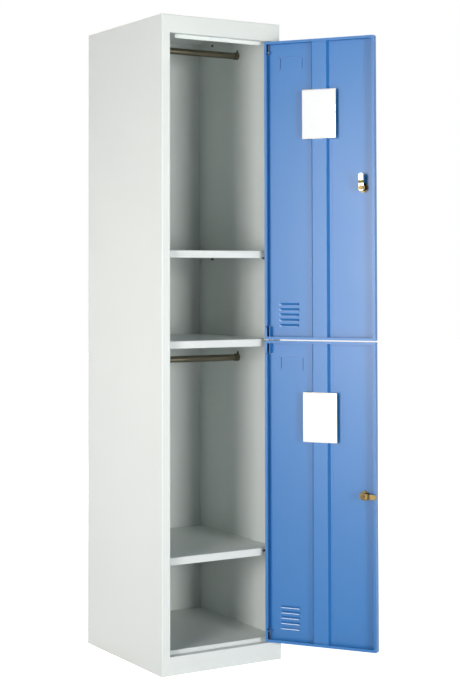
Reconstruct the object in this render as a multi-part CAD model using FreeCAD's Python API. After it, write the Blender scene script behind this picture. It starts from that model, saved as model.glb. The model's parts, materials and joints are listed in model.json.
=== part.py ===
# School locker: one column wide, two compartments high, with two doors hinged on the right.
# The origin is on the floor, in the middle of the four floor fixing holes and of the footprint.
# +X is to the right, +Y goes to the back and +Z goes up, for a person who faces the doors.
# Both doors are drawn standing open, each turned on its pivot by open_angle from the closed place.

import FreeCAD, Part
import math
import os

from FreeCAD import Placement, Rotation, Vector

# ---- carcass sizes, in millimetres ----
width = 380.0                 # outside, left to right
depth = 450.0                 # outside, front to back
height = 1780.0               # floor to top
sheet = 1.0                   # steel sheet of the carcass
bend_radius = 1.2             # inside radius of each fold
stile_width = 26.0            # front face of each side panel
stile_past_door = 12.0        # stile's return, behind the closed door
rear_flange = 18.0            # side panel behind the back panel
header_height = 49.5          # front of the top panel
plinth_height = 50.5          # front of the base
foot_flange = 34.0            # flange that rests on the floor, front and back
stop_clearance = 2.5          # closed door to the lips that stop it
stop_drop = 10.0              # header stop lip, below the header
stop_left_gap = 27.0          # header stop lip's left end to the stile
back_side_gap = 2.5           # back panel to each side wall
weld_gap = 0.1                # between two welded sheets

# ---- shelves ----
floor_rise = 11.0             # top of the floor panel above the plinth
shelf_rise = 247.5            # top of each loose shelf above the floor of its compartment
lip_height = 21.0             # front lip of each shelf
lip_return = 10.0             # lip folded back under the shelf
lip_left_gap = 10.0           # lip's left end to the stile
lip_right_gap = 22.0          # lip's right end to the stile, where the hinges are
floor_lip_gap = 10.0          # each end of the floor panel's lip to the stile
notch_clearance = 2.0         # shelf corner to the end of the stile return
shelf_flange = 17.0           # folded down at the sides and the back
clip_radius = 3.0             # stud that a loose shelf rests on
clip_length = 7.0
clip_margin_front = 80.0      # clips, from the front and back faces
clip_margin_rear = 83.0
rivet_length = 4.0            # rivet through each side flange of the top

# ---- hanging rails ----
rail_radius = 9.5
rail_wall = 1.2
rail_drop = 62.0              # rail centre below the shelf or top above it
cup_radius = 11.0             # cup that holds the rail's end
cup_length = 12.0
cup_base = 2.5
rail_fit = 0.15
wedge_height = 7.0            # wedge above the cup
wedge_width = 7.0
wedge_tip_width = 2.5

# ---- floor fixing holes ----
fixing_inset_x = 60.0         # hole centres, from the sides
fixing_inset_y = 22.0         # hole centres, from the front and back faces
fixing_hole_radius = 4.5

# ---- doors ----
side_gap = 2.0                # door edge to stile
end_gap = 3.5                 # door end to header or plinth
middle_gap = 4.0              # between the two doors
door_sheet = 1.0
door_depth = 20.0
door_corner_radius = 2.0      # outside radius of the door's front edges
door_lip = 7.0                # folded back in around the door's rear
lip_slit = 3.0                # slit in the side lips
lip_slit_inset = 33.5         # slit, from each end of the door
open_angle = 125.0            # the doors as drawn

# ---- hinges ----
pivot_inset = 7.0             # pivot, from the door's hinge edge
pivot_setback = 4.0           # pivot, behind the door's front
pin_radius = 2.0
pin_fit = 0.05                # radial clearance of a turning pin
pin_overlap = 2.5             # pin past the header or plinth lip
pin_length = 34.0             # pin inside the door
pin_guide_inset = 30.0        # guide plate, from the door's end
pin_guide_sheet = 1.5
spring_wall = 0.8
spring_length = 20.0
bracket_sheet = 2.5           # bracket between the doors
bracket_margin = 5.5          # bracket past the pivot
bracket_leg_height = 40.0     # welded to the stile's return
stud_overlap = 5.5            # stud past each face of the bracket
hinge_plate_sheet = 2.0
hinge_plate_width = 13.0
hinge_leg_height = 33.0
hinge_leg_sheet = 1.5

# ---- door stiffener ----
hat_face = 42.0
hat_slope = 5.0
hat_foot = 8.0
hat_sheet = 0.8
hat_end_gap = 1.0

# ---- louvres and card frame ----
louvre_count = 5
louvre_pitch = 14.6
louvre_width = 62.0
louvre_height = 9.0
louvre_depth = 5.0
louvre_taper = 6.0
louvre_nose = 2.0
louvre_inset = 35.5           # from the hinge edge
louvre_rise = 35.0            # lowest louvre, above the door's end
card_width = 81.0
card_height = 36.5
card_inset = 35.0             # from the hinge edge
card_drop = 41.5              # below the door's top
card_rib = 4.0
card_rib_rise = 2.0
card_groove = 2.6
card_side_inset = 6.0
card_lug = 10.0

# ---- mirrors ----
mirror_width = 96.0
mirror_height = 133.5
mirror_glass_thickness = 3.0
mirror_clearance = 0.8        # glass, inside the door's rear
mirror_drop = 209.0           # mirror centre below the door's top
backing_thickness = 1.2
backing_margin = 1.6
pad_thickness = 1.0
pad_width = 32.0
pad_height = 30.0
pad_spacing = 90.0

# ---- locks ----
lock_inset = 37.5             # lock axis, from the door's free edge
barrel_radius = 9.5
barrel_flange_radius = 12.0
barrel_flange_thickness = 2.5
barrel_rise = 0.8             # barrel end, behind the door's rear
barrel_fit = 0.05
plug_radius = 7.0
plug_fit = 0.05
key_slot_width = 1.6
key_slot_height = 8.0
key_slot_depth = 8.0
lock_nut_flats = 25.0
lock_nut_thickness = 4.0
cam_gap = 0.3                 # barrel end to cam
cam_sheet = 2.0
cam_width = 13.5
cam_reach = 40.0              # lock axis to the cam's tip
cam_tail = 9.0
cam_crank = 3.0               # tip plane behind the hub plane
crank_start = 13.5
crank_run = 7.0
cam_square = 7.0
square_fit = 0.05
cam_nut_flats = 12.0
cam_nut_thickness = 4.5
tail_screw_radius = 2.9
tail_screw_rise = 1.5
strike_clearance = 2.5        # around the cam in the stile's slot

# ---- places worked out from the sizes ----
left = -width / 2
right = width / 2
front = -depth / 2
rear = depth / 2
inner_half_width = width / 2 - sheet - weld_gap
header_bottom = height - header_height
back_front = rear - 2 * sheet - weld_gap
stile_return = door_depth + stile_past_door
stop_front = front + door_depth + stop_clearance
fixing_spacing_x = width - 2 * fixing_inset_x
stile_inner = right - stile_width
door_free_edge = left + stile_width + side_gap
door_hinge_edge = right - stile_width - side_gap
door_centre = (door_free_edge + door_hinge_edge) / 2
door_width = door_hinge_edge - door_free_edge
door_height = (header_bottom - plinth_height - 2 * end_gap - middle_gap) / 2
lower_bottom = plinth_height + end_gap
lower_top = lower_bottom + door_height
upper_bottom = lower_top + middle_gap
upper_top = upper_bottom + door_height
gap_centre = (lower_top + upper_bottom) / 2
door_inside = front + door_sheet
door_rear = front + door_depth
mirror_stack = pad_thickness + backing_thickness + mirror_glass_thickness
hat_height = door_depth - door_sheet - mirror_stack - mirror_clearance
floor_level = plinth_height + floor_rise
divider_level = upper_bottom
upper_shelf_level = divider_level + shelf_rise
lower_shelf_level = floor_level + shelf_rise
barrel_length = door_depth + barrel_rise
pivot = Vector(door_hinge_edge - pivot_inset, front + pivot_setback, 0)
lock_x = door_free_edge + lock_inset
upper_lock_z = (upper_bottom + upper_top) / 2
lower_lock_z = (lower_bottom + lower_top) / 2
cam_front = front + barrel_length + cam_gap
upper_rail_z = height - rail_drop
lower_rail_z = divider_level - rail_drop

across = Vector(1, 0, 0)
backward = Vector(0, 1, 0)
up = Vector(0, 0, 1)


# ---- shape helpers ----
def box(x_range, y_range, z_range):
    size = [high - low for low, high in (x_range, y_range, z_range)]
    return Part.makeBox(*size, Vector(x_range[0], y_range[0], z_range[0]))


def join(*pieces):
    return pieces[0].fuse(list(pieces[1:])).removeSplitter()


def mirror_x(shape):
    return shape.mirror(Vector(0, 0, 0), across)


def plan(z):
    # Places a profile drawn in X and Y at height z.
    return lambda a, b: Vector(a, b, z)


def section(x):
    # Places a profile drawn in Y and Z at place x.
    return lambda a, b: Vector(x, a, b)


def elevation(y):
    # Places a profile drawn in X and Z at depth y.
    return lambda a, b: Vector(a, y, b)


def prism(points, place, sweep):
    wire = Part.makePolygon([place(*p) for p in points + points[:1]])
    return Part.Face(wire).extrude(sweep)


def fold_side(path, distance, radius, place):
    # Edges along one side of a folded sheet's centre line, left of it when distance is positive.
    edges = []
    corner = [Vector(a, b, 0) for a, b in path]
    ways = [(q - p).normalize() for p, q in zip(corner, corner[1:])]
    lefts = [Vector(-w.y, w.x, 0) for w in ways]
    start = corner[0] + lefts[0] * distance
    for i, point in enumerate(corner[1:-1]):
        turn = 1 if ways[i].cross(ways[i + 1]).z > 0 else -1
        run = radius * math.tan(ways[i].getAngle(ways[i + 1]) / 2)
        centre = point - ways[i] * run + lefts[i] * radius * turn
        side_radius = radius - turn * distance
        bend_start = centre - lefts[i] * turn * side_radius
        bend_middle = centre + (point - centre).normalize() * side_radius
        bend_end = centre - lefts[i + 1] * turn * side_radius
        bend = [place(v.x, v.y) for v in (bend_start, bend_middle, bend_end)]
        edges.append(Part.makeLine(place(start.x, start.y), bend[0]))
        edges.append(Part.Arc(*bend).toShape())
        start = bend_end
    finish = corner[-1] + lefts[-1] * distance
    edges.append(Part.makeLine(place(start.x, start.y), place(finish.x, finish.y)))
    return edges


def folded_sheet(path, place, sweep, thickness, inside_radius):
    # A sheet whose centre line is path, with rounded folds, swept along a straight line.
    half = thickness / 2
    one_side = fold_side(path, half, inside_radius + half, place)
    other_side = fold_side(path, -half, inside_radius + half, place)
    first_cap = Part.makeLine(one_side[0].firstVertex().Point, other_side[0].firstVertex().Point)
    last_cap = Part.makeLine(one_side[-1].lastVertex().Point, other_side[-1].lastVertex().Point)
    edges = Part.__sortEdges__(one_side + [last_cap] + other_side + [first_cap])
    return Part.Face(Part.Wire(edges)).extrude(sweep)


def hexagon(flats, place, sweep, centre_a, centre_b):
    corner_radius = flats / math.sqrt(3)
    points = []
    for step in range(6):
        angle = math.radians(60 * step + 30)
        corner = (corner_radius * math.cos(angle), corner_radius * math.sin(angle))
        points.append((centre_a + corner[0], centre_b + corner[1]))
    return prism(points, place, sweep)


def rod(radius, length, start, way):
    return Part.makeCylinder(radius, length, start, way)


# ---- carcass ----
def mitre_wedge(rail_edge, outer_end, y_range):
    # Space on the rail's side of the diagonal joint at the right-hand end of the header or the plinth.
    way = 1 if outer_end > rail_edge else -1
    points = [
        (right - stile_width, rail_edge),
        (right, outer_end),
        (right, outer_end + way),
        (right - stile_width - sheet - bend_radius, outer_end + way),
        (right - stile_width - sheet - bend_radius, rail_edge),
    ]
    return prism(points, elevation(y_range[0]), backward * (y_range[1] - y_range[0]))


def outside_mitre(rail_edge, outer_end, y_range):
    # Space on the stile's side of the same joint, which the header or plinth leaves free.
    points = [
        (right - stile_width, rail_edge),
        (right, outer_end),
        (right + sheet, outer_end),
        (right + sheet, rail_edge),
    ]
    return prism(points, elevation(y_range[0]), backward * (y_range[1] - y_range[0]))


def right_side_panel():
    half = sheet / 2
    path = [
        (right - rear_flange, rear - half),
        (right - half, rear - half),
        (right - half, front + half),
        (right - stile_width + half, front + half),
        (right - stile_width + half, front + stile_return),
    ]
    panel = folded_sheet(path, plan(0), up * height, sheet, bend_radius)
    stile_range = (front - sheet, front + stile_return + sheet)
    panel = panel.cut(mitre_wedge(header_bottom, height, stile_range))
    return panel.cut(mitre_wedge(plinth_height, 0, stile_range))


def left_side_panel():
    panel = mirror_x(right_side_panel())
    slot_y = (cam_front + cam_crank - strike_clearance, cam_front + cam_crank + cam_sheet + strike_clearance)
    slot_x = (left + stile_width - 2 * sheet, left + stile_width + sheet)
    for lock_z in (upper_lock_z, lower_lock_z):
        slot_half = cam_width / 2 + strike_clearance
        panel = panel.cut(box(slot_x, slot_y, (lock_z - slot_half, lock_z + slot_half)))
    return panel


def back_panel():
    half_width = width / 2 - sheet - back_side_gap
    return box((-half_width, half_width), (back_front, back_front + sheet), (0, height - sheet - weld_gap))


def front_rail_ends(rail, rail_edge, outer_end, lip_end):
    # Mitres both ends of the header or plinth against the stiles.
    y_range = (front - sheet, lip_end)
    wedge = outside_mitre(rail_edge, outer_end, y_range)
    wall = box((inner_half_width, right + sheet), (front - sheet, rear), (-sheet, height + sheet))
    for cutter in (wedge, wall):
        rail = rail.cut(cutter).cut(mirror_x(cutter))
    return rail


def pin_hole(z_range):
    return rod(pin_radius + pin_fit, z_range[1] - z_range[0], pivot + up * z_range[0], up)


def top_panel():
    half = sheet / 2
    path = [
        (back_front - weld_gap - half, height - shelf_flange),
        (back_front - weld_gap - half, height - half),
        (front + half, height - half),
        (front + half, header_bottom + half),
        (stop_front + half, header_bottom + half),
        (stop_front + half, header_bottom - stop_drop),
    ]
    panel = folded_sheet(path, section(left), across * width, sheet, bend_radius)
    panel = front_rail_ends(panel, header_bottom, height, stop_front + 2 * sheet)
    lip_rear = stop_front + 2 * sheet
    lip_end = box(
        (right - stile_width - weld_gap, right),
        (front + 2 * sheet, lip_rear),
        (header_bottom - stop_drop, height - header_height / 2),
    )
    panel = panel.cut(lip_end).cut(mirror_x(lip_end))
    stop_z = (header_bottom - 2 * stop_drop, header_bottom)
    for stop_x in ((left, -stile_inner + stop_left_gap), (stile_inner - lip_right_gap, right)):
        panel = panel.cut(box(stop_x, (front, lip_rear), stop_z))
    side = box(
        (inner_half_width - sheet, inner_half_width),
        (front + stile_return + sheet, back_front - 2 * sheet),
        (height - shelf_flange, height - half),
    )
    panel = join(panel, side, mirror_x(side))
    return panel.cut(pin_hole((header_bottom - sheet, header_bottom + 2 * sheet)))


def fixing_holes(y):
    holes = []
    for x in (-fixing_spacing_x / 2, fixing_spacing_x / 2):
        holes.append(rod(fixing_hole_radius, 3 * sheet, Vector(x, y, -sheet), up))
    return holes


def plinth_rail():
    half = sheet / 2
    path = [
        (front + foot_flange, half),
        (front + half, half),
        (front + half, plinth_height - half),
        (stop_front - sheet, plinth_height - half),
    ]
    rail = folded_sheet(path, section(left), across * width, sheet, bend_radius)
    rail = front_rail_ends(rail, plinth_height, 0, stop_front)
    behind_stile = box(
        (right - stile_width - weld_gap, right),
        (front + 2 * sheet, front + foot_flange + sheet),
        (-sheet, plinth_height + sheet),
    )
    rail = rail.cut(behind_stile).cut(mirror_x(behind_stile))
    rail = rail.cut(fixing_holes(front + fixing_inset_y))
    return rail.cut(pin_hole((plinth_height - 2 * sheet, plinth_height + sheet)))


def rear_base_rail():
    half = sheet / 2
    rail_rear = back_front - weld_gap
    path = [
        (rear - foot_flange, half),
        (rail_rear - half, half),
        (rail_rear - half, floor_level - sheet - weld_gap - half),
        (rear - foot_flange, floor_level - sheet - weld_gap - half),
    ]
    rail = folded_sheet(path, section(-inner_half_width), across * 2 * inner_half_width, sheet, bend_radius)
    return rail.cut(fixing_holes(rear - fixing_inset_y))


def lipped_plate(path, level, flange_rear, left_gap, right_gap):
    # Folded plate with side flanges. Its front corners are notched to clear the stiles.
    plate = folded_sheet(path, section(-inner_half_width), across * 2 * inner_half_width, sheet, bend_radius)
    notch_rear = front + stile_return + notch_clearance
    notch_z = (level - 2 * lip_height, level + sheet)
    for notch_x in ((left, -stile_inner + left_gap), (stile_inner - right_gap, right)):
        plate = plate.cut(box(notch_x, (stop_front - sheet, notch_rear), notch_z))
    side = box(
        (inner_half_width - sheet, inner_half_width),
        (notch_rear + sheet, flange_rear),
        (level - shelf_flange, level - sheet / 2),
    )
    return join(plate, side, mirror_x(side))


def lip_path(level):
    half = sheet / 2
    return [
        (stop_front + lip_return, level - lip_height + half),
        (stop_front + half, level - lip_height + half),
        (stop_front + half, level - half),
    ]


def shelf(level):
    half = sheet / 2
    shelf_rear = back_front - weld_gap
    path = lip_path(level) + [(shelf_rear - half, level - half), (shelf_rear - half, level - shelf_flange)]
    return lipped_plate(path, level, shelf_rear - 2 * sheet, lip_left_gap, lip_right_gap)


def floor_panel():
    # Rests on the rear base rail, so it has no flange at the back.
    path = lip_path(floor_level) + [(back_front - weld_gap, floor_level - sheet / 2)]
    return lipped_plate(path, floor_level, rear - foot_flange - sheet, floor_lip_gap, floor_lip_gap)


def wall_studs(wall, length, z):
    # Four round-headed studs that stand out of the side walls at x = wall and its mirror image.
    studs = []
    for y in (front + clip_margin_front, rear - clip_margin_rear):
        stud = rod(clip_radius, length, Vector(wall - length, y, z), across)
        inner_rim = [e for e in stud.Edges if e.BoundBox.XMax < wall - length / 2]
        stud = stud.makeFillet(clip_radius / 3, inner_rim)
        studs += [stud, mirror_x(stud)]
    return Part.makeCompound(studs)


def shelf_clips(level):
    # The studs that a loose shelf's side flanges rest on.
    return wall_studs(right - sheet, clip_length, level - shelf_flange - weld_gap - clip_radius)


def top_rivets():
    # Rivet heads on the inside of the top panel's side flanges.
    return wall_studs(inner_half_width - sheet, rivet_length, height - shelf_flange + clip_radius + sheet)


def hanging_rail(z):
    half_length = width / 2 - sheet - cup_base
    start = Vector(-half_length, 0, z)
    tube = rod(rail_radius, 2 * half_length, start, across)
    return tube.cut(rod(rail_radius - rail_wall, 2 * half_length, start, across))


def rail_brackets(z):
    # Cup that is fixed to the side wall at each end of the rail.
    wall = right - sheet
    cup = rod(cup_radius, cup_length, Vector(wall - cup_length, 0, z), across)
    cup = cup.cut(rod(rail_radius + rail_fit, cup_length, Vector(wall - cup_length - cup_base, 0, z), across))
    return Part.makeCompound([cup, mirror_x(cup)])


def rail_wedges(z):
    # Upright wedge in the side wall above each cup.
    bottom = z + cup_radius + weld_gap
    top = bottom + wedge_height
    half = wedge_width / 2
    tip_half = wedge_tip_width / 2
    outline = [(-half, bottom), (half, bottom), (tip_half, top), (-tip_half, top)]
    wedge = prism(outline, section(right - sheet - cup_base), across * cup_base)
    return Part.makeCompound([wedge, mirror_x(wedge)])


def middle_hinge_bracket():
    # Plate between the doors, with a leg behind them that is welded to the stile's return.
    z_range = (gap_centre - bracket_sheet / 2, gap_centre + bracket_sheet / 2)
    plate = box((pivot.x - bracket_margin, stile_inner), (front + sheet, front + stile_return), z_range)
    free_side = [e for e in plate.Edges if e.BoundBox.XMax < pivot.x]
    corners = [e for e in free_side if e.BoundBox.ZLength > bracket_sheet / 2]
    plate = plate.makeFillet(bracket_margin / 2, corners)
    leg = box(
        (stile_inner - sheet, stile_inner),
        (door_rear + side_gap, front + stile_return),
        (gap_centre - bracket_leg_height / 2, gap_centre + bracket_leg_height / 2),
    )
    return join(plate, leg).cut(rod(pin_radius, bracket_sheet, pivot + up * z_range[0], up))


def middle_hinge_stud():
    length = bracket_sheet + 2 * stud_overlap
    stud = rod(pin_radius, length, pivot + up * (gap_centre - length / 2), up)
    ends = [e for e in stud.Edges if e.BoundBox.ZLength < 0.1]
    return stud.makeChamfer(0.4, ends)


# ---- doors, drawn closed and then opened ----
def opened(shape):
    turned = shape.copy()
    turn = Placement(Vector(0, 0, 0), Rotation(up, open_angle), pivot)
    turned.Placement = turn.multiply(turned.Placement)
    return turned


def louvre(x, z):
    # Outer and inner forms of one louvre hood: it stands out of the door's front and is open below.
    def form(trim):
        root = -door_sheet if trim else 0
        near = (trim, root, 0, 0, louvre_taper + trim)
        far_x = louvre_width - trim
        far = (far_x, louvre_depth - trim, louvre_height - trim, louvre_nose, far_x - louvre_taper)
        hood = Part.makeWedge(*near, *far)
        hood = hood.mirror(Vector(0, 0, 0), backward)
        hood.translate(Vector(x, front, z))
        return hood
    return form(0), form(door_sheet)


def card_marks(top):
    # Ribs of the pressed card frame: each is a front rib and the groove behind it.
    hinge_side = door_hinge_edge - card_inset
    far_side = hinge_side - card_width
    card_top = top - card_drop
    card_bottom = card_top - card_height
    places = [((far_side, hinge_side), (card_top - card_rib, card_top))]
    for x in (far_side + card_side_inset, hinge_side - card_side_inset - card_rib):
        places.append(((x, x + card_rib), (card_bottom, card_top - card_rib)))
    for x in (far_side, hinge_side - card_lug):
        places.append(((x, x + card_lug), (card_bottom - card_rib, card_bottom)))
    return places


def door_pan(bottom, top):
    shell = box((door_free_edge, door_hinge_edge), (front, door_rear), (bottom, top))
    rounded = [e for e in shell.Edges if e.CenterOfMass.y < door_rear - sheet]
    shell = shell.makeFillet(door_corner_radius, rounded)
    hollow = box(
        (door_free_edge + door_sheet, door_hinge_edge - door_sheet),
        (door_inside, door_rear - door_sheet),
        (bottom + door_sheet, top - door_sheet),
    )
    inner = [e for e in hollow.Edges if e.CenterOfMass.y < door_rear - 2 * door_sheet]
    hollow = hollow.makeFillet(door_corner_radius - door_sheet, inner)
    mouth = box(
        (door_free_edge + door_lip, door_hinge_edge - door_lip),
        (door_inside + door_depth / 2, door_rear + sheet),
        (bottom + door_lip, top - door_lip),
    )
    pan = shell.cut([hollow, mouth])
    slits = []
    for z in (bottom + lip_slit_inset, top - lip_slit_inset - lip_slit):
        for x in (door_free_edge + 2 * door_sheet, door_hinge_edge - door_lip - sheet):
            slit_y = (door_rear - 2 * door_sheet, door_rear + door_sheet)
            slits.append(box((x, x + door_lip - door_sheet), slit_y, (z, z + lip_slit)))
    hoods = []
    hood_cuts = []
    louvre_x = door_hinge_edge - louvre_inset - louvre_width
    for step in range(louvre_count):
        outer, inside = louvre(louvre_x, bottom + louvre_rise + step * louvre_pitch)
        hoods.append(outer)
        hood_cuts.append(inside)
    ribs = []
    grooves = []
    groove_trim = (card_rib - card_groove) / 2
    for x_range, z_range in card_marks(top):
        ribs.append(box(x_range, (front - card_rib_rise, front + door_sheet / 2), z_range))
        groove_x = (x_range[0] + groove_trim, x_range[1] - groove_trim)
        groove_z = (z_range[0] + groove_trim, z_range[1] - groove_trim)
        grooves.append(box(groove_x, (front - card_rib_rise + door_sheet / 2, door_inside + sheet), groove_z))
    pan = join(pan, *hoods, *ribs)
    lock_start = Vector(lock_x, front - door_sheet, (bottom + top) / 2)
    lock_hole = rod(barrel_radius + barrel_fit, 3 * door_sheet, lock_start, backward)
    pivot_hole = rod(pin_radius + pin_fit, top - bottom + 2 * sheet, pivot + up * (bottom - sheet), up)
    return pan.cut(slits + hood_cuts + grooves + [lock_hole, pivot_hole])


def door_stiffener(bottom, top):
    foot_y = door_inside + hat_sheet / 2
    crown_y = door_inside + hat_height - hat_sheet / 2
    half = hat_face / 2
    path = [
        (door_centre - half - hat_slope - hat_foot, foot_y),
        (door_centre - half - hat_slope, foot_y),
        (door_centre - half, crown_y),
        (door_centre + half, crown_y),
        (door_centre + half + hat_slope, foot_y),
        (door_centre + half + hat_slope + hat_foot, foot_y),
    ]
    start = bottom + door_sheet + hat_end_gap
    length = top - bottom - 2 * (door_sheet + hat_end_gap)
    return folded_sheet(path, plan(start), up * length, hat_sheet, bend_radius)


def hinge_channel():
    # X and Y ranges inside the door's hinge edge that the small hinge plates fill.
    hinge_side = door_hinge_edge - door_corner_radius
    return (hinge_side - hinge_plate_width, hinge_side), (door_inside, door_rear - 2 * door_sheet)


def pin_guide(door_end, way):
    # Small plate across the corner of the door that steadies the hinge pin.
    z = door_end - way * pin_guide_inset
    x_range, y_range = hinge_channel()
    plate = box(x_range, y_range, (z - pin_guide_sheet / 2, z + pin_guide_sheet / 2))
    return plate.cut(rod(pin_radius, 2 * pin_guide_sheet, pivot + up * (z - pin_guide_sheet), up))


def end_pin(door_end, way):
    # Pin from inside the door, through its end and the lip of the header or plinth.
    outside = end_gap + sheet + pin_overlap
    start = pivot + up * (door_end + way * outside)
    pin = rod(pin_radius, outside + pin_length, start, up * -way)
    tip = [e for e in pin.Edges if abs(e.CenterOfMass.z - start.z) < 0.1 and e.BoundBox.ZLength < 0.1]
    pin = pin.makeChamfer(0.5, tip)
    grip_z = door_end - way * (pin_length - 1.5)
    grip = rod(pin_radius / 2, hinge_plate_width / 2, Vector(pivot.x, pivot.y, grip_z), Vector(-1, 0, 0))
    return join(pin, grip)


def pin_spring(door_end, way):
    # The spring's outline, from the guide plate towards the door's end.
    start = pivot + up * (door_end - way * (pin_guide_inset - pin_guide_sheet / 2))
    outer = rod(pin_radius + pin_fit + spring_wall, spring_length, start, up * way)
    return outer.cut(rod(pin_radius + pin_fit, spring_length, start, up * way))


def hinge_plate(door_end, way):
    # Angle inside the door's end that turns on the stud of the middle bracket.
    inner_end = door_end - way * door_corner_radius
    web_z = sorted((inner_end, inner_end - way * hinge_plate_sheet))
    leg_z = sorted((inner_end, inner_end - way * hinge_leg_height))
    x_range, y_range = hinge_channel()
    web = box(x_range, y_range, web_z)
    leg = box((x_range[0], x_range[0] + hinge_leg_sheet), y_range, leg_z)
    bore = rod(pin_radius + pin_fit, 4 * hinge_plate_sheet, pivot + up * (web_z[0] - hinge_plate_sheet), up)
    return join(web, leg).cut(bore)


def mirror_set(top):
    # Glass, backing and pads, in that order, from the room side to the door.
    z = top - mirror_drop
    crown = door_inside + hat_height
    pads = []
    pad_x = (door_centre - pad_width / 2, door_centre + pad_width / 2)
    for step in (-1, 1):
        pad_z = z + step * pad_spacing / 2
        pad_range = (pad_z - pad_height / 2, pad_z + pad_height / 2)
        pads.append(box(pad_x, (crown, crown + pad_thickness), pad_range))
    backing_y = crown + pad_thickness
    half_width = mirror_width / 2
    half_height = mirror_height / 2
    backing = box(
        (door_centre - half_width - backing_margin, door_centre + half_width + backing_margin),
        (backing_y, backing_y + backing_thickness),
        (z - half_height - backing_margin, z + half_height + backing_margin),
    )
    glass_y = backing_y + backing_thickness
    glass = box(
        (door_centre - half_width, door_centre + half_width),
        (glass_y, glass_y + mirror_glass_thickness),
        (z - half_height, z + half_height),
    )
    bevel = [e for e in glass.Edges if e.CenterOfMass.y > glass_y + mirror_glass_thickness - 0.1]
    return glass.makeChamfer(0.6, bevel), backing, Part.makeCompound(pads)


def lock_barrel(z):
    flange_start = Vector(lock_x, front - barrel_flange_thickness, z)
    flange = rod(barrel_flange_radius, barrel_flange_thickness, flange_start, backward)
    rim = [e for e in flange.Edges if e.BoundBox.YMax < front - barrel_flange_thickness / 2]
    flange = flange.makeFillet(barrel_flange_thickness / 2, rim)
    tube = rod(barrel_radius, barrel_length, Vector(lock_x, front, z), backward)
    bore = rod(plug_radius + plug_fit, barrel_length + barrel_flange_thickness, flange_start, backward)
    return join(flange, tube).cut(bore)


def lock_nut(z):
    nut = hexagon(lock_nut_flats, elevation(door_inside), backward * lock_nut_thickness, lock_x, z)
    bore_start = Vector(lock_x, door_inside, z)
    return nut.cut(rod(barrel_radius + barrel_fit, lock_nut_thickness, bore_start, backward))


def lock_plug(z):
    # Turning core: key slot in front, square for the cam and a threaded tail behind.
    start = Vector(lock_x, front - barrel_flange_thickness, z)
    body = rod(plug_radius, barrel_flange_thickness + barrel_length, start, backward)
    half = cam_square / 2
    square_y = (front + barrel_length, cam_front + cam_sheet)
    square = box((lock_x - half, lock_x + half), square_y, (z - half, z + half))
    tail_length = cam_gap + cam_sheet + cam_nut_thickness + tail_screw_rise
    tail = rod(tail_screw_radius, tail_length, Vector(lock_x, front + barrel_length, z), backward)
    slot_y = (start.y - sheet, start.y + key_slot_depth)
    slot = box(
        (lock_x - key_slot_width / 2, lock_x + key_slot_width / 2),
        slot_y,
        (z - key_slot_height / 2, z + key_slot_height / 2),
    )
    return join(body, square, tail).cut(slot)


def lock_cam(z):
    # Cranked arm, drawn pointing up, with rounded ends.
    half = cam_sheet / 2
    path = [
        (cam_front + half, z - cam_tail),
        (cam_front + half, z + crank_start),
        (cam_front + half + cam_crank, z + crank_start + crank_run),
        (cam_front + half + cam_crank, z + cam_reach),
    ]
    arm = folded_sheet(path, section(lock_x - cam_width / 2), across * cam_width, cam_sheet, bend_radius)
    end_radius = cam_width / 2
    y_span = 2 * cam_sheet + cam_crank
    low_end = z - cam_tail + end_radius
    high_end = z + cam_reach - end_radius
    outline_x = (lock_x - end_radius, lock_x + end_radius)
    outline = box(outline_x, (cam_front, cam_front + y_span), (low_end, high_end))
    for end in (low_end, high_end):
        outline = outline.fuse(rod(end_radius, y_span, Vector(lock_x, cam_front, end), backward))
    hole_half = cam_square / 2 + square_fit
    hole_x = (lock_x - hole_half, lock_x + hole_half)
    hole = box(hole_x, (cam_front, cam_front + cam_sheet), (z - hole_half, z + hole_half))
    return arm.common(outline.removeSplitter()).cut(hole)


def cam_nut(z):
    nut_front = cam_front + cam_sheet
    nut = hexagon(cam_nut_flats, elevation(nut_front), backward * cam_nut_thickness, lock_x, z)
    return nut.cut(rod(tail_screw_radius, cam_nut_thickness, Vector(lock_x, nut_front, z), backward))


def turned_on_lock(shape, z, angle):
    # Turns a lock's moving piece about the lock axis, seen from the front: up goes to the free edge.
    turned = shape.copy()
    turn = Placement(Vector(0, 0, 0), Rotation(backward, -angle), Vector(lock_x, front, z))
    turned.Placement = turn.multiply(turned.Placement)
    return turned


# ---- the whole set of nodes ----
def carcass_nodes():
    return {
        "left_side_panel": left_side_panel(),
        "right_side_panel": right_side_panel(),
        "back_panel": back_panel(),
        "top_panel": top_panel(),
        "plinth_rail": plinth_rail(),
        "rear_base_rail": rear_base_rail(),
        "floor_panel": floor_panel(),
        "divider_shelf": shelf(divider_level),
        "upper_shelf": shelf(upper_shelf_level),
        "lower_shelf": shelf(lower_shelf_level),
        "upper_shelf_clips": shelf_clips(upper_shelf_level),
        "lower_shelf_clips": shelf_clips(lower_shelf_level),
        "top_rivets": top_rivets(),
        "upper_hanging_rail": hanging_rail(upper_rail_z),
        "lower_hanging_rail": hanging_rail(lower_rail_z),
        "upper_rail_brackets": rail_brackets(upper_rail_z),
        "lower_rail_brackets": rail_brackets(lower_rail_z),
        "upper_rail_wedges": rail_wedges(upper_rail_z),
        "lower_rail_wedges": rail_wedges(lower_rail_z),
        "middle_hinge_bracket": middle_hinge_bracket(),
        "middle_hinge_stud": middle_hinge_stud(),
    }


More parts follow.
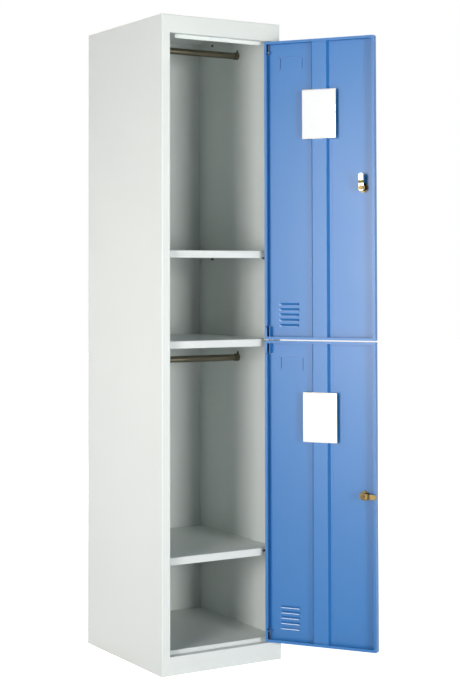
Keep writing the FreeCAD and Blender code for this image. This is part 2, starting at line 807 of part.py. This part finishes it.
def door_nodes(name, bottom, top, cam_angle, pin_way):
    # pin_way is 1 when the door's own hinge pin is at its top, and -1 when it is at its bottom.
    lock_z = (bottom + top) / 2
    pin_end, stud_end = (top, bottom) if pin_way > 0 else (bottom, top)
    glass, backing, pads = mirror_set(top)
    nodes = {
        "door_pan": door_pan(bottom, top),
        "door_stiffener": door_stiffener(bottom, top),
        "door_pin_guide": pin_guide(pin_end, pin_way),
        "door_hinge_plate": hinge_plate(stud_end, -pin_way),
        "door_hinge_pin": end_pin(pin_end, pin_way),
        "mirror_glass": glass,
        "mirror_backing": backing,
        "mirror_pads": pads,
        "lock_barrel": lock_barrel(lock_z),
        "lock_nut": lock_nut(lock_z),
    }
    moving = {
        "lock_plug": lock_plug(lock_z),
        "lock_cam": lock_cam(lock_z),
        "lock_cam_nut": cam_nut(lock_z),
    }
    for key, shape in moving.items():
        nodes[key] = turned_on_lock(shape, lock_z, cam_angle)
    return {name + "_" + key: opened(shape) for key, shape in nodes.items()}


def all_nodes():
    nodes = carcass_nodes()
    nodes.update(door_nodes("upper", upper_bottom, upper_top, 0, 1))
    nodes.update(door_nodes("lower", lower_bottom, lower_top, 90, -1))
    nodes["upper_door_pin_spring"] = opened(pin_spring(upper_top, 1))
    return nodes


os.makedirs("parts", exist_ok=True)
for node_name, node_shape in all_nodes().items():
    node_shape.exportStep(os.path.join("parts", node_name + ".step"))
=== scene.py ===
import json
import math
import bmesh
import bpy
from mathutils import Matrix, Vector


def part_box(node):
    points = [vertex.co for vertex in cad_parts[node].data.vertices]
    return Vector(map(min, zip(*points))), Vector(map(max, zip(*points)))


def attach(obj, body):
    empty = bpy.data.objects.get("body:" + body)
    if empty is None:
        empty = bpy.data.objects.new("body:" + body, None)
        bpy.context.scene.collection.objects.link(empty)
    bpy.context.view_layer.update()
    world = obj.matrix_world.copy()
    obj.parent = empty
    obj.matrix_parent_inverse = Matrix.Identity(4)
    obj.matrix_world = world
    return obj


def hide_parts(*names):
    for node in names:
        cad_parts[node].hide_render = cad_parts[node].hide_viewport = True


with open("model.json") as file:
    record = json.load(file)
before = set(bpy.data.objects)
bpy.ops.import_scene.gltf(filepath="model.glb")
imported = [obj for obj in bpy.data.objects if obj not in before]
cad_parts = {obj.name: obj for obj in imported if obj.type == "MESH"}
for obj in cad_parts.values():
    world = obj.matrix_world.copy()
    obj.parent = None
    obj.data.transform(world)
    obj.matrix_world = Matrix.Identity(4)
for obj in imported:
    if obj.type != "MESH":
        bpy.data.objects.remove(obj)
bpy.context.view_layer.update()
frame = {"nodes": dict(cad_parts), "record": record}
nodes = frame["nodes"]
print("frame loaded with", len(nodes), "nodes")

millimetre = 0.001
toolMark = 0.1 * millimetre  # depth of the fine lines in plated and turned metal
sparkPit = 0.2 * millimetre  # depth of the grain on moulded plastic


def linear(hexColour):
    channels = [int(hexColour[i:i + 2], 16) / 255 for i in (1, 3, 5)]
    return [c / 12.92 if c <= 0.04045 else ((c + 0.055) / 1.055) ** 2.4 for c in channels] + [1.0]


def addNode(tree, kind, settings=None, links=None):
    node = tree.nodes.new(kind)
    for key, value in (settings or {}).items():
        if isinstance(key, int) or key in node.inputs:
            node.inputs[key].default_value = value
        else:
            setattr(node, key, value)
    for key, socket in (links or {}).items():
        tree.links.new(socket, node.inputs[key])
    return node


def startMaterial(name, settings):
    material = bpy.data.materials.new(name)
    material.use_nodes = True
    tree = material.node_tree
    tree.nodes.clear()
    shader = addNode(tree, "ShaderNodeBsdfPrincipled", settings)
    addNode(tree, "ShaderNodeOutputMaterial", links={"Surface": shader.outputs["BSDF"]})
    place = addNode(tree, "ShaderNodeTexCoord").outputs["Object"]
    return material, tree, shader, place


# camera
cameraLook = {
    "place": (-2.1639, -3.8151, 1.0745),
    "yaw": -0.5413,  # turned to the right of straight ahead, in radians
    "pitch": 0.0346,  # tilted up
    "roll": -0.0016,
    "lens": 79.39,  # on a 36 mm long side
    "shift": (0.0136, -0.1791),  # keeps the uprights upright with the locker low in the frame
}


def makeCamera(look):
    ahead = Vector((-math.sin(look["yaw"]), math.cos(look["yaw"]), 0))
    side = Vector((math.cos(look["yaw"]), math.sin(look["yaw"]), 0))
    up = Vector((0, 0, 1))
    aim = ahead * math.cos(look["pitch"]) + up * math.sin(look["pitch"])
    top = up * math.cos(look["pitch"]) - ahead * math.sin(look["pitch"])
    right = side * math.cos(look["roll"]) + top * math.sin(look["roll"])
    top = top * math.cos(look["roll"]) - side * math.sin(look["roll"])
    camera = bpy.data.objects.new("camera", bpy.data.cameras.new("camera"))
    bpy.context.scene.collection.objects.link(camera)
    turn = Matrix((right, top, -aim)).transposed().to_4x4()
    camera.matrix_world = Matrix.Translation(look["place"]) @ turn
    camera.data.lens = look["lens"]
    camera.data.sensor_width = 36
    camera.data.shift_x, camera.data.shift_y = look["shift"]
    camera.data.clip_start, camera.data.clip_end = 0.1, 60
    bpy.context.scene.camera = camera


makeCamera(cameraLook)
print("camera placed")


# light and floor
studioLook = {
    "room": "#e9f3f2",  # light that reaches the locker from all round
    "roomStrength": 0.10,
    "walls": "#ffffff",  # what shiny faces see round them
    "wallStrength": 1.0,
    "lamps": {
        # from the left and a little in front: it lights the left side and the doors
        "keyLight": {"place": (-3.5, -1.95, 1.15), "size": (1.1, 1.7), "watts": 99, "colour": "#fffaf8"},
        # from straight ahead: it reaches the back panel
        "frontLight": {"place": (0.45, -7.0, 1.05), "size": (1.5, 2.2), "watts": 250, "colour": "#fffdfc"},
        "sideLight": {"place": (-1.3, 0.15, 0.95), "size": (0.5, 0.5), "watts": 3.5, "colour": "#fff6f4"},
        # for the back and the top
        "backLight": {"place": (1.3, 3.4, 3.4), "size": (2.0, 2.0), "watts": 90, "colour": "#ffffff"},
    },
    "floorColour": "#eceded",
    "floorRoughness": 0.8,
    "floorMottle": 0.025,
    "floorGlow": (0.70, 1.0),  # near the locker and far from it
    "floorBounce": 0.0,  # share of that glow which lights the locker
    "floorFade": (0.9, 3.0),
    "floorSize": 30.0,
}


def areaLight(name, look):
    light = bpy.data.lights.new(name, "AREA")
    light.shape = "RECTANGLE"
    light.size, light.size_y = look["size"]
    light.energy = look["watts"]
    light.color = linear(look["colour"])[:3]
    lamp = bpy.data.objects.new(name, light)
    bpy.context.scene.collection.objects.link(lamp)
    target = Vector((0, 0, 1.0))
    lamp.location = look["place"]
    lamp.visible_camera = False
    lamp.rotation_euler = (target - lamp.location).to_track_quat("-Z", "Y").to_euler()


def makeStudio(look):
    world = bpy.data.worlds.new("studio")
    bpy.context.scene.world = world
    world.use_nodes = True
    tree = world.node_tree
    tree.nodes.clear()
    room = addNode(tree, "ShaderNodeBackground", {
        "Color": linear(look["room"]),
        "Strength": look["roomStrength"],
    })
    walls = addNode(tree, "ShaderNodeBackground", {
        "Color": linear(look["walls"]),
        "Strength": look["wallStrength"],
    })
    path = addNode(tree, "ShaderNodeLightPath")
    seen = addNode(tree, "ShaderNodeMath", {"operation": "MAXIMUM"},
                   {0: path.outputs["Is Camera Ray"], 1: path.outputs["Is Glossy Ray"]})
    mix = addNode(tree, "ShaderNodeMixShader", links={
        "Fac": seen.outputs["Value"],
        1: room.outputs["Background"],
        2: walls.outputs["Background"],
    })
    addNode(tree, "ShaderNodeOutputWorld", links={"Surface": mix.outputs["Shader"]})
    for name, lampLook in look["lamps"].items():
        areaLight(name, lampLook)

    bm = bmesh.new()
    bmesh.ops.create_grid(bm, x_segments=1, y_segments=1, size=look["floorSize"] / 2)
    mesh = bpy.data.meshes.new("studioFloor")
    bm.to_mesh(mesh)
    bm.free()
    floor = bpy.data.objects.new("studioFloor", mesh)
    bpy.context.scene.collection.objects.link(floor)
    # evenly dull and pale, with a faint mottle a few centimetres across
    material, tree, shader, place = startMaterial("matte floor paint", {
        "Roughness": look["floorRoughness"],
        "Emission Color": linear(look["walls"]),
    })
    grain = addNode(tree, "ShaderNodeTexNoise", {"Scale": 1 / look["floorMottle"], "Detail": 3.0},
                    {"Vector": place})
    tone = addNode(tree, "ShaderNodeMix", {
        "data_type": "RGBA",
        6: linear(look["floorColour"]),
        7: linear(look["walls"]),
    }, {0: grain.outputs["Fac"]})
    # the flat floor brightens with distance, as it would towards a lit white cove
    distance = addNode(tree, "ShaderNodeVectorMath", {"operation": "LENGTH"}, {0: place})
    glow = addNode(tree, "ShaderNodeMapRange", {
        "interpolation_type": "SMOOTHSTEP",
        "From Min": look["floorFade"][0],
        "From Max": look["floorFade"][1],
        "To Min": look["floorGlow"][0],
        "To Max": look["floorGlow"][1],
    }, {"Value": distance.outputs["Value"]})
    path = addNode(tree, "ShaderNodeLightPath")
    share = addNode(tree, "ShaderNodeMapRange", {"To Min": 1.0, "To Max": look["floorBounce"]},
                    {"Value": path.outputs["Is Diffuse Ray"]})
    strength = addNode(tree, "ShaderNodeMath", {"operation": "MULTIPLY"},
                       {0: glow.outputs["Result"], 1: share.outputs["Result"]})
    tree.links.new(tone.outputs[2], shader.inputs["Base Color"])
    tree.links.new(strength.outputs["Value"], shader.inputs["Emission Strength"])
    floor.data.materials.append(material)


makeStudio(studioLook)
bpy.context.scene.view_settings.view_transform = "Standard"
print("studio lit")


def powderCoatedSteel(name, look):
    # Baked-on paint powder: even colour with a soft shine that is broken up by a fine orange peel.
    # The folds get a painted highlight, a lighter line mixed into the base colour, and handling leaves
    # faint dull patches.
    material, tree, shader, place = startMaterial(name, {"Metallic": 0.0, "IOR": 1.5})
    patches = addNode(tree, "ShaderNodeTexNoise", {"Scale": 1 / look["patchSize"], "Detail": 3.0},
                      {"Vector": place})
    # the real peel is about 1 mm from bump to bump; it is drawn a little coarser so that it shows
    peel = addNode(tree, "ShaderNodeTexNoise", {"Scale": 1 / look["peelSize"], "Detail": 2.0},
                   {"Vector": place})
    tone = addNode(tree, "ShaderNodeMix", {
        "data_type": "RGBA",
        6: linear(look["shade"]),
        7: linear(look["colour"]),
    }, {0: patches.outputs["Fac"]})
    # painted highlight: the base colour is lightened where the bevelled normal turns away from the face,
    # along the folds
    softNormal = addNode(tree, "ShaderNodeBevel", {"samples": 4, "Radius": look["foldLine"]})
    surface = addNode(tree, "ShaderNodeNewGeometry")
    flatness = addNode(tree, "ShaderNodeVectorMath", {"operation": "DOT_PRODUCT"},
                       {0: softNormal.outputs["Normal"], 1: surface.outputs["Normal"]})
    fold = addNode(tree, "ShaderNodeMapRange", {
        "From Min": look["foldStart"],
        "From Max": look["foldEnd"],
        "To Min": 0.0,
        "To Max": look["foldShare"],
    }, {"Value": flatness.outputs["Value"]})
    edged = addNode(tree, "ShaderNodeMix", {"data_type": "RGBA", 7: linear(look["edge"])},
                    {0: fold.outputs["Result"], 6: tone.outputs[2]})
    gloss = addNode(tree, "ShaderNodeMapRange", {
        "To Min": look["roughness"][0],
        "To Max": look["roughness"][1],
    }, {"Value": patches.outputs["Fac"]})
    bump = addNode(tree, "ShaderNodeBump", {
        "Strength": look["peelStrength"],
        "Distance": look["peelDepth"],
    }, {"Height": peel.outputs["Fac"]})
    tree.links.new(edged.outputs[2], shader.inputs["Base Color"])
    tree.links.new(gloss.outputs["Result"], shader.inputs["Roughness"])
    tree.links.new(bump.outputs["Normal"], shader.inputs["Normal"])
    return material


def platedSteel(name, look):
    # Plated or turned metal: mirror-like in colour, with fine tool lines along one way.
    material, tree, shader, place = startMaterial(name, {"Metallic": 1.0})
    stretch = addNode(tree, "ShaderNodeMapping", {"Scale": look["lines"]}, {"Vector": place})
    lines = addNode(tree, "ShaderNodeTexNoise", {"Scale": 1 / look["lineSize"], "Detail": 4.0},
                    {"Vector": stretch.outputs["Vector"]})
    tone = addNode(tree, "ShaderNodeMix", {
        "data_type": "RGBA",
        6: linear(look["shade"]),
        7: linear(look["colour"]),
    }, {0: lines.outputs["Fac"]})
    if "bendReflection" in look:
        # painted reflection: a dark yellow band across the bend of the crank, for what its tilted face
        # reflects
        height = addNode(tree, "ShaderNodeSeparateXYZ", links={"Vector": place})
        bend = addNode(tree, "ShaderNodeMath", {
            "operation": "COMPARE",
            1: look["bendReflectionHeight"],
            2: look["bendReflectionHalf"],
        }, {0: height.outputs["Z"]})
        tone = addNode(tree, "ShaderNodeMix", {"data_type": "RGBA", 7: linear(look["bendReflection"])},
                       {0: bend.outputs["Value"], 6: tone.outputs[2]})
    if "core" in look:
        # the face is plated, and the threaded body behind it is dull brass
        depth = addNode(tree, "ShaderNodeVectorMath", {"operation": "DOT_PRODUCT", 1: lockAxis}, {0: place})
        behind = addNode(tree, "ShaderNodeMath", {
            "operation": "LESS_THAN",
            1: lockFace - look["faceDepth"],
        }, {0: depth.outputs["Value"]})
        tone = addNode(tree, "ShaderNodeMix", {"data_type": "RGBA", 7: linear(look["core"])},
                       {0: behind.outputs["Value"], 6: tone.outputs[2]})
    gloss = addNode(tree, "ShaderNodeMapRange", {
        "To Min": look["roughness"][0],
        "To Max": look["roughness"][1],
    }, {"Value": lines.outputs["Fac"]})
    bump = addNode(tree, "ShaderNodeBump", {"Strength": 0.25, "Distance": toolMark},
                   {"Height": lines.outputs["Fac"]})
    tree.links.new(tone.outputs[2], shader.inputs["Base Color"])
    tree.links.new(gloss.outputs["Result"], shader.inputs["Roughness"])
    tree.links.new(bump.outputs["Normal"], shader.inputs["Normal"])
    return material


def mouldedPlastic(name, look):
    # Moulded from a spark-eroded tool: dull, with a fine pebbled grain.
    material, tree, shader, place = startMaterial(name, {"IOR": look["ior"]})
    grain = addNode(tree, "ShaderNodeTexNoise", {"Scale": 1 / look["grainSize"], "Detail": 3.0},
                    {"Vector": place})
    tone = addNode(tree, "ShaderNodeMix", {
        "data_type": "RGBA",
        6: linear(look["shade"]),
        7: linear(look["colour"]),
    }, {0: grain.outputs["Fac"]})
    gloss = addNode(tree, "ShaderNodeMapRange", {
        "To Min": look["roughness"][0],
        "To Max": look["roughness"][1],
    }, {"Value": grain.outputs["Fac"]})
    bump = addNode(tree, "ShaderNodeBump", {"Strength": 0.3, "Distance": sparkPit},
                   {"Height": grain.outputs["Fac"]})
    tree.links.new(tone.outputs[2], shader.inputs["Base Color"])
    tree.links.new(gloss.outputs["Result"], shader.inputs["Roughness"])
    tree.links.new(bump.outputs["Normal"], shader.inputs["Normal"])
    return material


def silveredGlass(name, look):
    # Float glass with a silver layer: a clean image with the faintest haze of dust.
    material, tree, shader, place = startMaterial(name, {"Metallic": 1.0})
    dust = addNode(tree, "ShaderNodeTexNoise", {"Scale": 1 / look["dustSize"], "Detail": 5.0},
                   {"Vector": place})
    tone = addNode(tree, "ShaderNodeMix", {
        "data_type": "RGBA",
        6: linear(look["shade"]),
        7: linear(look["colour"]),
    }, {0: dust.outputs["Fac"]})
    haze = addNode(tree, "ShaderNodeMapRange", {
        "To Min": look["roughness"][0],
        "To Max": look["roughness"][1],
    }, {"Value": dust.outputs["Fac"]})
    tree.links.new(tone.outputs[2], shader.inputs["Base Color"])
    tree.links.new(haze.outputs["Result"], shader.inputs["Roughness"])
    return material


# the locks' turning line, which some finishes follow
lockTurn = next(j for j in frame["record"]["behaviour"]["joints"] if j["name"] == "upper_lock_turn")
lockPlace = Vector(lockTurn["pos_m"])
lockAxis = Vector(lockTurn["axis"])
lockFace = lockPlace.dot(lockAxis)

greyCoat = powderCoatedSteel("light grey powder-coated steel", {
    "colour": "#d6dcd9", "shade": "#d1d7d4", "edge": "#e8ecea",
    # the lighter third colour paints a highlight along the folds
    "foldLine": 1.5 * millimetre, "foldStart": 0.995, "foldEnd": 0.8, "foldShare": 0.7,
    "patchSize": 0.25, "peelSize": 2.2 * millimetre, "peelStrength": 0.12,
    "peelDepth": 0.0002, "roughness": (0.36, 0.46),
})
blueCoat = powderCoatedSteel("blue powder-coated steel", {
    "colour": "#2870b0", "shade": "#236bab", "edge": "#6c9bd6",
    # the lighter third colour paints a highlight along the folds
    "foldLine": 1.5 * millimetre, "foldStart": 0.995, "foldEnd": 0.8, "foldShare": 0.6,
    "patchSize": 0.30, "peelSize": 2.2 * millimetre, "peelStrength": 0.12,
    "peelDepth": 0.0002, "roughness": (0.30, 0.38),
})
railSteel = platedSteel("drawn steel tube", {
    "colour": "#857f6c", "shade": "#625d4e", "lines": (0.05, 1, 1),
    "lineSize": 1.2 * millimetre, "roughness": (0.2, 0.3),
})
zincSteel = platedSteel("bright zinc plate", {
    "colour": "#cdcfce", "shade": "#b2b4b3", "lines": (1, 1, 0.2),
    "lineSize": 0.8 * millimetre, "roughness": (0.3, 0.42),
    # the dark yellow band across the crank of the cam is a painted reflection
    "bendReflection": "#6d612b", "bendReflectionHeight": lockPlace.z + 16.5 * millimetre,
    "bendReflectionHalf": 4.2 * millimetre,
})
yellowZinc = platedSteel("yellow zinc plate", {
    "colour": "#7b6a44", "shade": "#56482a", "lines": (1, 1, 0.2),
    "lineSize": 3 * millimetre, "roughness": (0.24, 0.36),
})
turnedBrass = platedSteel("turned brass", {
    "colour": "#62563a", "shade": "#382f1c", "lines": (1, 1, 1),
    "lineSize": 0.8 * millimetre, "roughness": (0.2, 0.32),
})
darkSteel = platedSteel("oiled black-oxide steel", {
    "colour": "#6f7788", "shade": "#535a6a", "lines": (1, 1, 0.3),
    "lineSize": 1 * millimetre, "roughness": (0.35, 0.5),
})
chromePlate = platedSteel("chrome plate", {
    "colour": "#e6e8ea", "shade": "#dadde0", "lines": (1, 1, 1),
    "lineSize": 2 * millimetre, "roughness": (0.10, 0.16),
    "core": "#4a4230", "faceDepth": 0.5 * millimetre,
})
darkPlastic = mouldedPlastic("black moulded nylon", {
    "colour": "#2b2b29", "shade": "#222220", "ior": 1.53,
    "grainSize": 0.8 * millimetre, "roughness": (0.5, 0.65),
})
creamPlastic = mouldedPlastic("cream polystyrene", {
    "colour": "#efe9d6", "shade": "#e8e1cb", "ior": 1.59,
    "grainSize": 1.5 * millimetre, "roughness": (0.35, 0.45),
})
foamPad = mouldedPlastic("closed-cell foam", {
    "colour": "#e4e3df", "shade": "#cfcec9", "ior": 1.4, "grainSize": 0.7 * millimetre,
    "roughness": (0.85, 0.95),
})
mirrorGlass = silveredGlass("silvered glass", {
    "colour": "#ffffff", "shade": "#fafcfb", "dustSize": 1 / 60, "roughness": (0.01, 0.03),
})

finishes = {
    "grey_powder_coat": greyCoat,
    "blue_powder_coat": blueCoat,
    "rail_steel": railSteel,
    "zinc_steel": zincSteel,
    "yellow_zinc": yellowZinc,
    "brass": turnedBrass,
    "chrome": chromePlate,
    "dark_plastic": darkPlastic,
    "cream_plastic": creamPlastic,
    "foam_pad": foamPad,
    "dark_steel": darkSteel,
    "mirror": mirrorGlass,
}


def paintFrame():
    for part in frame["record"]["subparts"]:
        mesh = nodes[part["node"]].data
        mesh.materials.clear()
        mesh.materials.append(finishes[part["material_slot"]])


paintFrame()
print("frame painted")


# pin spring
springLook = {
    "node": "upper_door_pin_spring",
    "turns": 11,
    "wire": 0.75 * millimetre,
    "pointsPerTurn": 20,
    "closedEnds": 0.045,  # how far the end turns close up, as a share of the length
}


def makeSpring(look):
    low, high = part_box(look["node"])
    middle = (low + high) / 2
    radius = (high.x - low.x) / 2 - look["wire"] / 2
    curve = bpy.data.curves.new("pinSpringCoil", "CURVE")
    curve.dimensions = "3D"
    curve.bevel_depth = look["wire"] / 2
    curve.bevel_resolution = 3
    curve.use_fill_caps = True
    spline = curve.splines.new("NURBS")
    count = look["turns"] * look["pointsPerTurn"] + 1
    spline.points.add(count - 1)
    length = high.z - low.z - look["wire"]
    for step in range(count):
        share = step / (count - 1)
        # the end turns lie closed, flat on their seats
        lift = share + look["closedEnds"] * math.sin(2 * math.pi * share)
        angle = 2 * math.pi * step / look["pointsPerTurn"]
        x = middle.x + radius * math.cos(angle)
        y = middle.y + radius * math.sin(angle)
        z = low.z + look["wire"] / 2 + length * lift
        spline.points[step].co = (x, y, z, 1)
    spline.order_u = 3
    spline.use_endpoint_u = True
    coil = bpy.data.objects.new("pinSpringCoil", curve)
    bpy.context.scene.collection.objects.link(coil)
    mesh = bpy.data.meshes.new_from_object(coil.evaluated_get(bpy.context.evaluated_depsgraph_get()))
    bpy.data.objects.remove(coil)
    spring = bpy.data.objects.new("pinSpring", mesh)
    bpy.context.scene.collection.objects.link(spring)
    mesh.materials.clear()
    mesh.materials.append(darkSteel)
    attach(spring, "upper_door")
    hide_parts(look["node"])


makeSpring(springLook)
print("spring wound")
